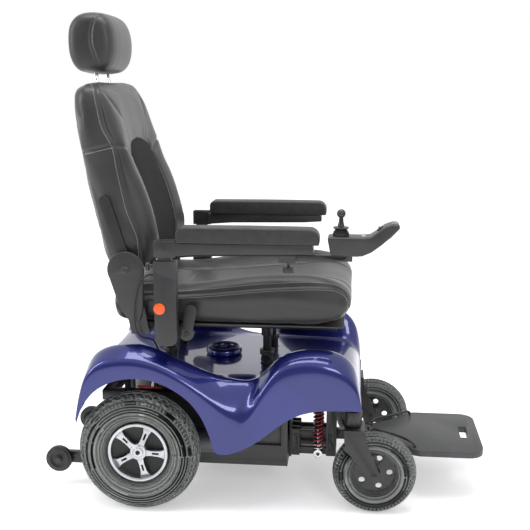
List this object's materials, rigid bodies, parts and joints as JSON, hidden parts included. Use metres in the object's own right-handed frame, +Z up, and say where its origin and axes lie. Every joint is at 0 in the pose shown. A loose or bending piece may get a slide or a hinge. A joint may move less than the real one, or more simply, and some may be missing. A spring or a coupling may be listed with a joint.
{
  "type": "power wheelchair",
  "caption": "Rear-wheel-drive power wheelchair with captain seat, suspended front casters, flip-up armrests, joystick controller and folding footplate.",
  "frame": {"origin": "on the ground under the middle of the chair's overall length and width", "axes": "+X forward, +Y to the sitter's left, +Z up"},
  "size_m": [1.326, 0.6412, 1.4279],
  "materials": {
    "frame_black": "satin",
    "battery_case": "matte",
    "shroud_blue": "gloss metallic",
    "motor_grey": "satin",
    "module_black": "matte",
    "damper_grey": "satin",
    "tyre_grey": "matte",
    "alloy": "polished",
    "caster_rim_black": "gloss",
    "lever_red": "gloss",
    "chrome": "polished",
    "spring_red": "gloss",
    "antitip_rubber": "matte",
    "deck_grey": "grained",
    "vinyl_black": "grained vinyl",
    "socket_plastic": "satin",
    "reflector_orange": "gloss",
    "pad_black": "matte moulded foam",
    "controller_plastic": "satin",
    "button_silver": "satin",
    "cable_black": "satin"
  },
  "bodies": {
    "base": {"base_frame": "frame_black", "battery_tray": "frame_black", "batteries": "battery_case", "body_shroud": "shroud_blue", "gearmotors": "motor_grey", "power_module": "module_black", "antitip_arms": "frame_black", "seat_sockets": "frame_black", "shock_bodies": "damper_grey", "shock_spring_left": "spring_red", "shock_spring_right": "spring_red", "footrest_hanger": "frame_black"},
    "drive_wheel_left": {"drive_tyre_left": "tyre_grey", "drive_rim_left": "alloy"},
    "drive_wheel_right": {"drive_tyre_right": "tyre_grey", "drive_rim_right": "alloy"},
    "freewheel_left": {"freewheel_lever_left": "lever_red"},
    "freewheel_right": {"freewheel_lever_right": "lever_red"},
    "link_low_left": {"lower_link_left": "frame_black"},
    "link_low_right": {"lower_link_right": "frame_black"},
    "link_high_left": {"upper_link_left": "frame_black"},
    "link_high_right": {"upper_link_right": "frame_black"},
    "carrier_left": {"caster_carrier_left": "frame_black"},
    "carrier_right": {"caster_carrier_right": "frame_black"},
    "damper_rod_left": {"shock_rod_left": "chrome"},
    "damper_rod_right": {"shock_rod_right": "chrome"},
    "fork_left": {"caster_fork_left": "frame_black"},
    "fork_right": {"caster_fork_right": "frame_black"},
    "caster_wheel_left": {"caster_tyre_left": "tyre_grey", "caster_rim_left": "caster_rim_black"},
    "caster_wheel_right": {"caster_tyre_right": "tyre_grey", "caster_rim_right": "caster_rim_black"},
    "antitip_left": {"antitip_wheel_left": "antitip_rubber"},
    "antitip_right": {"antitip_wheel_right": "antitip_rubber"},
    "footplate": {"footplate_deck": "deck_grey", "footplate_stays": "frame_black"},
    "seat": {"seat_frame": "frame_black", "seat_cushion": "vinyl_black", "armrest_sockets": "socket_plastic", "reflectors": "reflector_orange", "hinge_covers": "socket_plastic", "controller_cable": "cable_black"},
    "lever": {"recline_lever": "socket_plastic"},
    "back": {"back_frame": "frame_black", "back_cushion": "vinyl_black"},
    "headrest": {"headrest_posts": "chrome", "headrest_pad": "vinyl_black"},
    "upright_left": {"armrest_upright_left": "frame_black"},
    "upright_right": {"armrest_upright_right": "frame_black"},
    "arm_left": {"armrest_arm_left": "frame_black", "armrest_pad_left": "pad_black"},
    "arm_right": {"armrest_arm_right": "frame_black", "armrest_pad_right": "pad_black", "arm_lead": "cable_black"},
    "controller": {"controller_bar": "controller_plastic", "controller_housing": "controller_plastic"},
    "gimbal": {"joystick_gimbal": "chrome"},
    "stick": {"joystick": "controller_plastic"},
    "dial": {"speed_dial": "controller_plastic"},
    "button": {"power_button": "button_silver"}
  },
  "joints": [
    {"name": "drive_spin_left", "type": "hinge", "parent": "base", "child": "drive_wheel_left", "pos_m": [-0.342, 0.275, 0.178], "axis": [0, 1, 0], "continuous": true},
    {"name": "drive_spin_right", "type": "hinge", "parent": "base", "child": "drive_wheel_right", "pos_m": [-0.342, -0.275, 0.178], "axis": [0, 1, 0], "continuous": true},
    {"name": "freewheel_turn_left", "type": "hinge", "parent": "base", "child": "freewheel_left", "pos_m": [-0.372, 0.16, 0.206], "axis": [0, 1, 0], "range_deg": [0, 40]},
    {"name": "freewheel_turn_right", "type": "hinge", "parent": "base", "child": "freewheel_right", "pos_m": [-0.372, -0.16, 0.206], "axis": [0, 1, 0], "range_deg": [0, 40]},
    {"name": "suspension_left", "type": "hinge", "parent": "base", "child": "link_low_left", "pos_m": [0.098, 0.035, 0.096], "axis": [0, -1, 0], "range_deg": [0, 8], "stiffness_Nm_per_rad": 400, "springref_deg": -8.59, "deforming": ["shock_spring_left"]},
    {"name": "suspension_right", "type": "hinge", "parent": "base", "child": "link_low_right", "pos_m": [0.098, -0.035, 0.096], "axis": [0, -1, 0], "range_deg": [0, 8], "stiffness_Nm_per_rad": 400, "springref_deg": -8.59, "deforming": ["shock_spring_right"]},
    {"name": "upper_link_turn_left", "type": "hinge", "parent": "base", "child": "link_high_left", "pos_m": [0.098, 0.03, 0.147], "axis": [0, -1, 0], "range_deg": [0, 8]},
    {"name": "upper_link_turn_right", "type": "hinge", "parent": "base", "child": "link_high_right", "pos_m": [0.098, -0.03, 0.147], "axis": [0, -1, 0], "range_deg": [0, 8]},
    {"name": "carrier_turn_left", "type": "hinge", "parent": "link_low_left", "child": "carrier_left", "pos_m": [0.206, 0.035, 0.096], "axis": [0, -1, 0], "range_deg": [-8, 0]},
    {"name": "carrier_turn_right", "type": "hinge", "parent": "link_low_right", "child": "carrier_right", "pos_m": [0.206, -0.035, 0.096], "axis": [0, -1, 0], "range_deg": [-8, 0]},
    {"name": "damper_rod_turn_left", "type": "hinge", "parent": "link_low_left", "child": "damper_rod_left", "pos_m": [0.168, 0.053, 0.09], "axis": [0, -1, 0], "range_deg": [-8, 0]},
    {"name": "damper_rod_turn_right", "type": "hinge", "parent": "link_low_right", "child": "damper_rod_right", "pos_m": [0.168, -0.053, 0.09], "axis": [0, -1, 0], "range_deg": [-8, 0]},
    {"name": "caster_swivel_left", "type": "hinge", "parent": "carrier_left", "child": "fork_left", "pos_m": [0.276, 0.235, 0.262], "axis": [0, 0, 1], "continuous": true},
    {"name": "caster_swivel_right", "type": "hinge", "parent": "carrier_right", "child": "fork_right", "pos_m": [0.276, -0.235, 0.262], "axis": [0, 0, 1], "continuous": true},
    {"name": "caster_spin_left", "type": "hinge", "parent": "fork_left", "child": "caster_wheel_left", "pos_m": [0.338, 0.235, 0.121], "axis": [0, 1, 0], "continuous": true},
    {"name": "caster_spin_right", "type": "hinge", "parent": "fork_right", "child": "caster_wheel_right", "pos_m": [0.338, -0.235, 0.121], "axis": [0, 1, 0], "continuous": true},
    {"name": "antitip_spin_left", "type": "hinge", "parent": "base", "child": "antitip_left", "pos_m": [-0.623, 0.171, 0.091], "axis": [0, 1, 0], "continuous": true},
    {"name": "antitip_spin_right", "type": "hinge", "parent": "base", "child": "antitip_right", "pos_m": [-0.623, -0.171, 0.091], "axis": [0, 1, 0], "continuous": true},
    {"name": "footplate_fold", "type": "hinge", "parent": "base", "child": "footplate", "pos_m": [0.313, 0, 0.149], "axis": [0, -1, 0], "range_deg": [0, 85]},
    {"name": "seat_height", "type": "slide", "parent": "base", "child": "seat", "axis": [0, 0, 1], "range_m": [0, 0.05]},
    {"name": "recline_lever_pull", "type": "hinge", "parent": "seat", "child": "lever", "pos_m": [-0.2, -0.266, 0.53], "axis": [0, -1, 0], "range_deg": [0, 20], "stiffness_Nm_per_rad": 0.5},
    {"name": "recline", "type": "hinge", "parent": "seat", "child": "back", "pos_m": [-0.37, 0, 0.709], "axis": [0, -1, 0], "range_deg": [-10, 35]},
    {"name": "headrest_height", "type": "slide", "parent": "back", "child": "headrest", "axis": [-0.1736, 0, 0.9848], "range_m": [0, 0.06]},
    {"name": "armrest_height_left", "type": "slide", "parent": "seat", "child": "upright_left", "axis": [0, 0, 1], "range_m": [0, 0.06]},
    {"name": "armrest_height_right", "type": "slide", "parent": "seat", "child": "upright_right", "axis": [0, 0, 1], "range_m": [0, 0.06]},
    {"name": "armrest_flip_left", "type": "hinge", "parent": "upright_left", "child": "arm_left", "pos_m": [-0.258, 0.299, 0.779], "axis": [0, -1, 0], "range_deg": [0, 100]},
    {"name": "armrest_flip_right", "type": "hinge", "parent": "upright_right", "child": "arm_right", "pos_m": [-0.258, -0.299, 0.779], "axis": [0, -1, 0], "range_deg": [0, 100]},
    {"name": "controller_reach", "type": "slide", "parent": "arm_right", "child": "controller", "axis": [1, 0, 0], "range_m": [0, 0.06]},
    {"name": "joystick_fore_aft", "type": "hinge", "parent": "controller", "child": "gimbal", "pos_m": [0.231, -0.286, 0.8], "axis": [0, 1, 0], "range_deg": [-18, 18], "stiffness_Nm_per_rad": 0.4},
    {"name": "joystick_side", "type": "hinge", "parent": "gimbal", "child": "stick", "pos_m": [0.231, -0.286, 0.8], "axis": [1, 0, 0], "range_deg": [-18, 18], "stiffness_Nm_per_rad": 0.4},
    {"name": "speed_dial_turn", "type": "hinge", "parent": "controller", "child": "dial", "pos_m": [0.336, -0.286, 0.84], "axis": [-0.6561, 0, 0.7547], "range_deg": [-135, 135]},
    {"name": "power_button_press", "type": "slide", "parent": "controller", "child": "button", "axis": [0, 0, -1], "range_m": [0, 0.002], "stiffness_N_per_m": 400}
  ],
  "couplings": [
    {"joint": "upper_link_turn_left", "follows": "suspension_left", "ratio": 1},
    {"joint": "upper_link_turn_right", "follows": "suspension_right", "ratio": 1},
    {"joint": "carrier_turn_left", "follows": "suspension_left", "ratio": -1},
    {"joint": "carrier_turn_right", "follows": "suspension_right", "ratio": -1},
    {"joint": "damper_rod_turn_left", "follows": "suspension_left", "ratio": -1},
    {"joint": "damper_rod_turn_right", "follows": "suspension_right", "ratio": -1}
  ]
}
